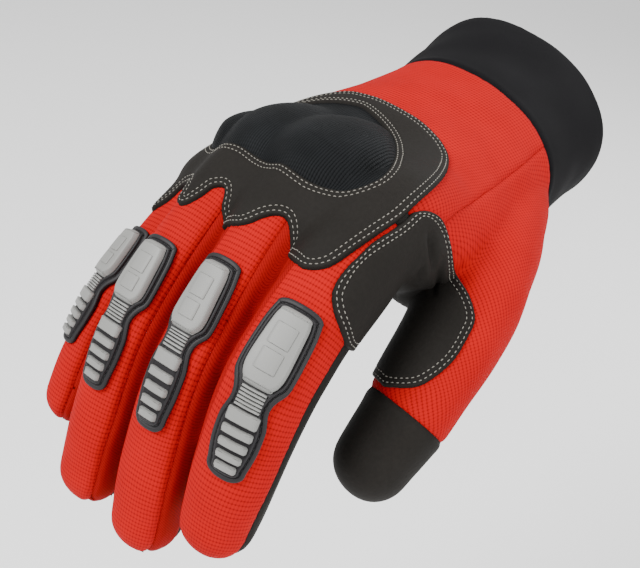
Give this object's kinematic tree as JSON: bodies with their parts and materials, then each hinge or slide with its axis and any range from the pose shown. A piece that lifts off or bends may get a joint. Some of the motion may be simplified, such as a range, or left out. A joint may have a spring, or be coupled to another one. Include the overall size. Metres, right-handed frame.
{
  "type": "impact work glove",
  "caption": "Right-hand impact work glove in its worn form, with a padded knuckle dome, ribbed finger guards, a thumb crotch patch and a plain stretch cuff.",
  "frame": {"origin": "centre of the cuff's open rim, where the wrist goes in", "axes": "+Y out of the cuff along the forearm, fingers towards -Y, +Z away from the back of the hand, +X towards the thumb"},
  "size_m": [0.1075, 0.1898, 0.1165],
  "materials": {
    "red_fabric": "ribbed stretch cloth",
    "dark_red_fabric": "ribbed stretch cloth",
    "black_leather": "matt synthetic leather",
    "neoprene": "smooth matt foam cloth",
    "dark_mesh": "woven cloth over padding",
    "dark_rubber": "satin",
    "grey_rubber": "satin"
  },
  "bodies": {
    "root": {"cuff": "neoprene", "back_panel": "red_fabric", "thumb_panel": "red_fabric", "palm_panel": "black_leather", "thumb_tip": "black_leather", "fourchette_index_middle": "dark_red_fabric", "fourchette_middle_ring": "dark_red_fabric", "fourchette_ring_little": "dark_red_fabric", "knuckle_panel": "black_leather", "knuckle_dome": "dark_mesh", "crotch_patch": "black_leather", "thumb_front": "black_leather", "finger_front_index": "black_leather", "finger_front_middle": "black_leather", "finger_front_ring": "black_leather", "finger_front_little": "black_leather", "finger_back_index": "red_fabric", "finger_back_middle": "red_fabric", "finger_back_ring": "red_fabric", "finger_back_little": "red_fabric", "guard_index_base": "dark_rubber", "guard_index_head": "grey_rubber", "guard_index_bar_1": "grey_rubber", "guard_index_bar_2": "grey_rubber", "guard_index_bar_3": "grey_rubber", "guard_index_bar_4": "grey_rubber", "guard_index_bar_5": "grey_rubber", "guard_middle_base": "dark_rubber", "guard_middle_head": "grey_rubber", "guard_middle_bar_1": "grey_rubber", "guard_middle_bar_2": "grey_rubber", "guard_middle_bar_3": "grey_rubber", "guard_middle_bar_4": "grey_rubber", "guard_middle_bar_5": "grey_rubber", "guard_ring_base": "dark_rubber", "guard_ring_head": "grey_rubber", "guard_ring_bar_1": "grey_rubber", "guard_ring_bar_2": "grey_rubber", "guard_ring_bar_3": "grey_rubber", "guard_ring_bar_4": "grey_rubber", "guard_ring_bar_5": "grey_rubber", "guard_little_base": "dark_rubber", "guard_little_head": "grey_rubber", "guard_little_bar_1": "grey_rubber", "guard_little_bar_2": "grey_rubber", "guard_little_bar_3": "grey_rubber", "guard_little_bar_4": "grey_rubber", "guard_little_bar_5": "grey_rubber"}
  },
  "joints": []
}
